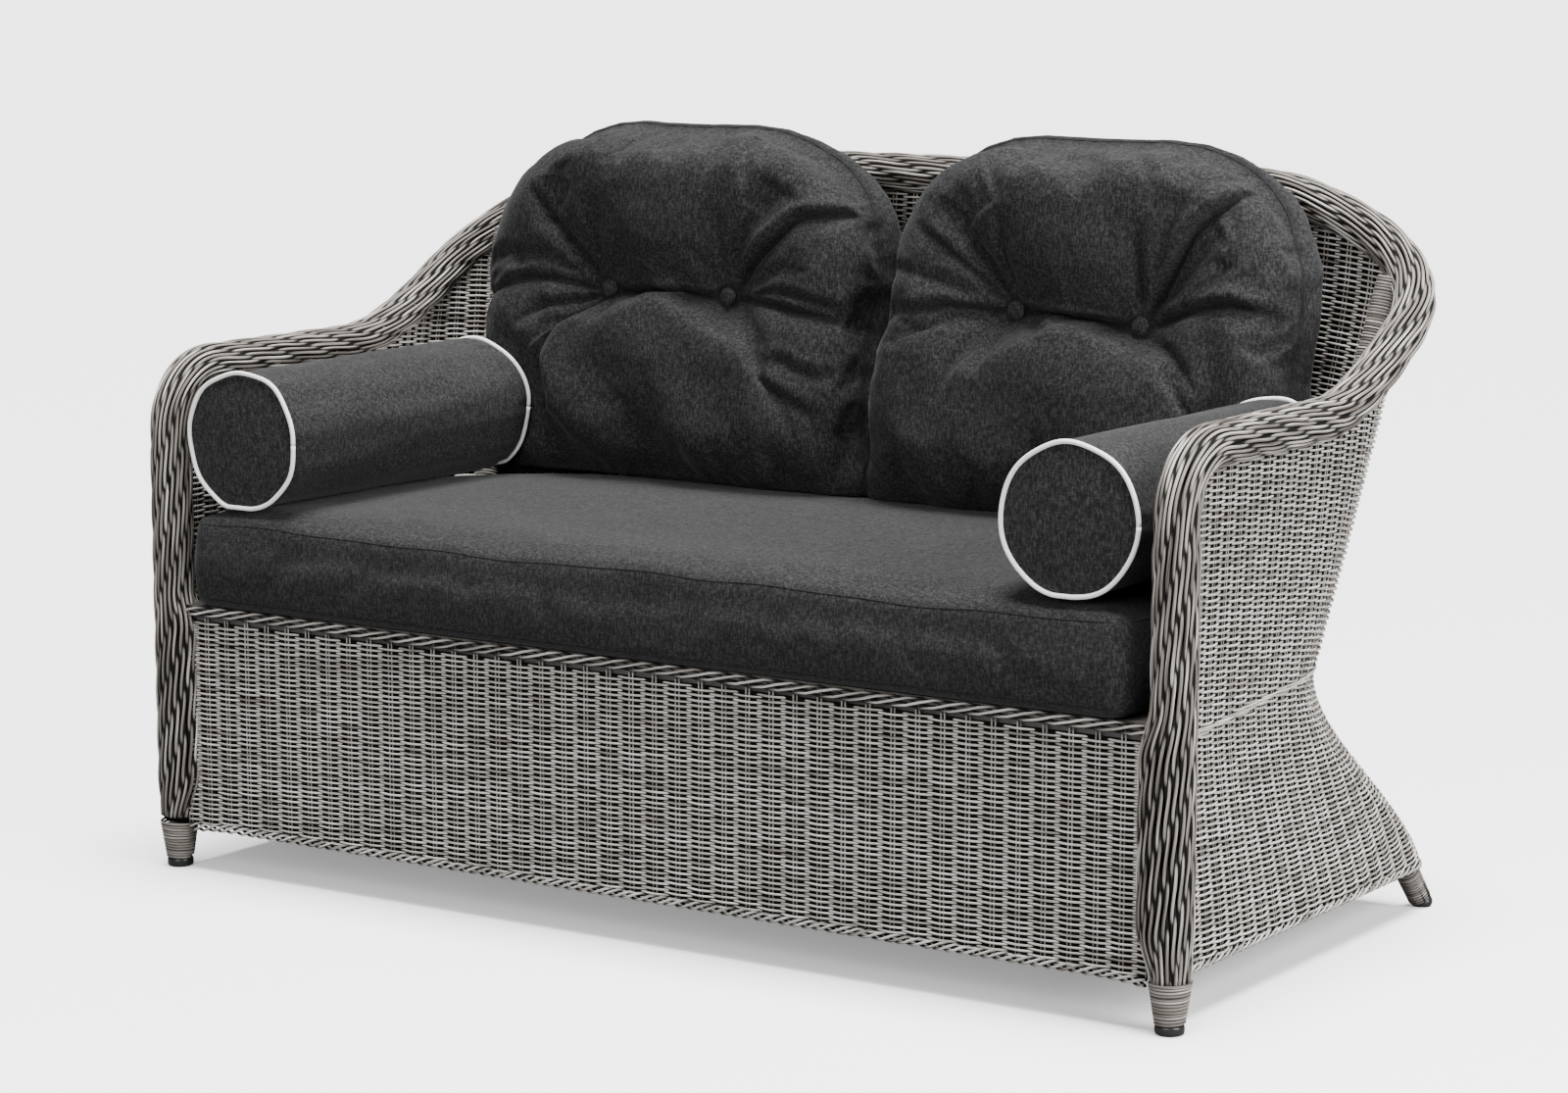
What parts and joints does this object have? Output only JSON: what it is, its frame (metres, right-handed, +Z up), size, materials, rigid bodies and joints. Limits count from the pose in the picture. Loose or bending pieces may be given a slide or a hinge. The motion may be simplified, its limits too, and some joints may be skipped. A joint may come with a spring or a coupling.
{
  "type": "garden sofa",
  "caption": "Low two-seat garden sofa woven in round wicker on a bent tube frame, with a continuous arm and back rail, loose box seat cushion, buttoned back cushions and piped bolsters.",
  "frame": {"origin": "on the ground under the middle of the sofa's bounding box", "axes": "+Z up, -Y out of the front of the seat, X along the seat"},
  "size_m": [1.431, 0.7056, 0.903],
  "materials": {
    "wicker": "round synthetic wicker strand, grey-brown with paler and darker streaks",
    "frame_tube": "powder-coated tube, satin",
    "glide": "moulded, satin black",
    "cushion_cloth": "woven charcoal cloth with a heather fleck",
    "piping": "off-white covered cord"
  },
  "bodies": {
    "frame": {"arm_tube_right": "frame_tube", "arm_tube_left": "frame_tube", "rear_leg_tube_right": "frame_tube", "rear_leg_tube_left": "frame_tube", "hoop_spigot_right": "frame_tube", "hoop_spigot_left": "frame_tube", "side_seat_rail_right": "frame_tube", "side_seat_rail_left": "frame_tube", "side_skirt_rail_right": "frame_tube", "side_skirt_rail_left": "frame_tube", "back_tube": "frame_tube", "front_seat_rail": "frame_tube", "rear_seat_rail": "frame_tube", "front_skirt_rail": "frame_tube", "rear_skirt_rail": "frame_tube", "seat_support_left": "frame_tube", "seat_support_middle": "frame_tube", "seat_support_right": "frame_tube", "post_plait_right": "wicker", "post_plait_left": "wicker", "arm_roll_right": "wicker", "arm_roll_left": "wicker", "back_roll": "wicker", "side_weave_right": "wicker", "side_weave_left": "wicker", "back_weave": "wicker", "front_apron": "wicker", "seat_deck": "wicker", "front_leg_wrap_right": "wicker", "front_leg_wrap_left": "wicker", "rear_leg_wrap_right": "wicker", "rear_leg_wrap_left": "wicker", "front_glide_right": "glide", "front_glide_left": "glide", "rear_glide_right": "glide", "rear_glide_left": "glide"},
    "seat_cushion": {"seat_cushion": "cushion_cloth"},
    "back_cushion_right": {"back_cushion_right": "cushion_cloth", "button_right_front_a": "cushion_cloth", "button_right_front_b": "cushion_cloth", "button_right_rear_a": "cushion_cloth", "button_right_rear_b": "cushion_cloth"},
    "back_cushion_left": {"back_cushion_left": "cushion_cloth", "button_left_front_a": "cushion_cloth", "button_left_front_b": "cushion_cloth", "button_left_rear_a": "cushion_cloth", "button_left_rear_b": "cushion_cloth"},
    "bolster_right": {"bolster_right": "cushion_cloth", "bolster_piping_front_right": "piping", "bolster_piping_rear_right": "piping"},
    "bolster_left": {"bolster_left": "cushion_cloth", "bolster_piping_front_left": "piping", "bolster_piping_rear_left": "piping"}
  },
  "joints": [
    {"name": "seat_cushion_lift", "type": "slide", "parent": "frame", "child": "seat_cushion", "axis": [0, 0, 1], "range_m": [0, 0.3]},
    {"name": "back_cushion_right_lift", "type": "slide", "parent": "seat_cushion", "child": "back_cushion_right", "axis": [0, 0, 1], "range_m": [0, 0.45]},
    {"name": "back_cushion_left_lift", "type": "slide", "parent": "seat_cushion", "child": "back_cushion_left", "axis": [0, 0, 1], "range_m": [0, 0.45]},
    {"name": "bolster_right_lift", "type": "slide", "parent": "seat_cushion", "child": "bolster_right", "axis": [0, 0, 1], "range_m": [0, 0.35]},
    {"name": "bolster_left_lift", "type": "slide", "parent": "seat_cushion", "child": "bolster_left", "axis": [0, 0, 1], "range_m": [0, 0.35]}
  ]
}
